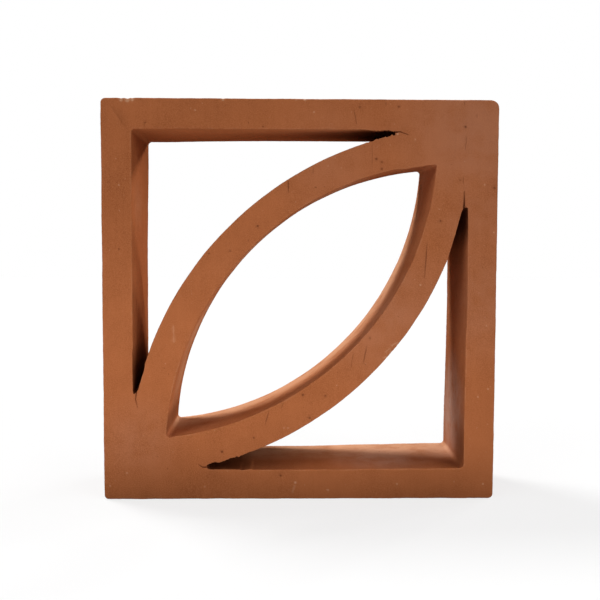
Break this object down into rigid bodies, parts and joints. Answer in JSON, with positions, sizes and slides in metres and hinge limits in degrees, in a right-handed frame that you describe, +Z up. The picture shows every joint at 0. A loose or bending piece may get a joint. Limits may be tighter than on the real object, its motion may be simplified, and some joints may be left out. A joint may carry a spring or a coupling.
{
  "type": "clay screen block",
  "caption": "Fired clay screen block: a square frame crossed by bowed ribs that leave a leaf-shaped opening, laid in rows to make a pierced wall that lets light and air through",
  "frame": {"origin": "middle of the bottom bed, halfway through the depth", "axes": "X across the front, Y through the depth with the front face looking along -Y, Z up"},
  "size_m": [0.29, 0.08, 0.295],
  "materials": {
    "fired_clay": "matt, wire-cut, unglazed"
  },
  "bodies": {
    "root": {"clay_block": "fired_clay"}
  },
  "joints": []
}
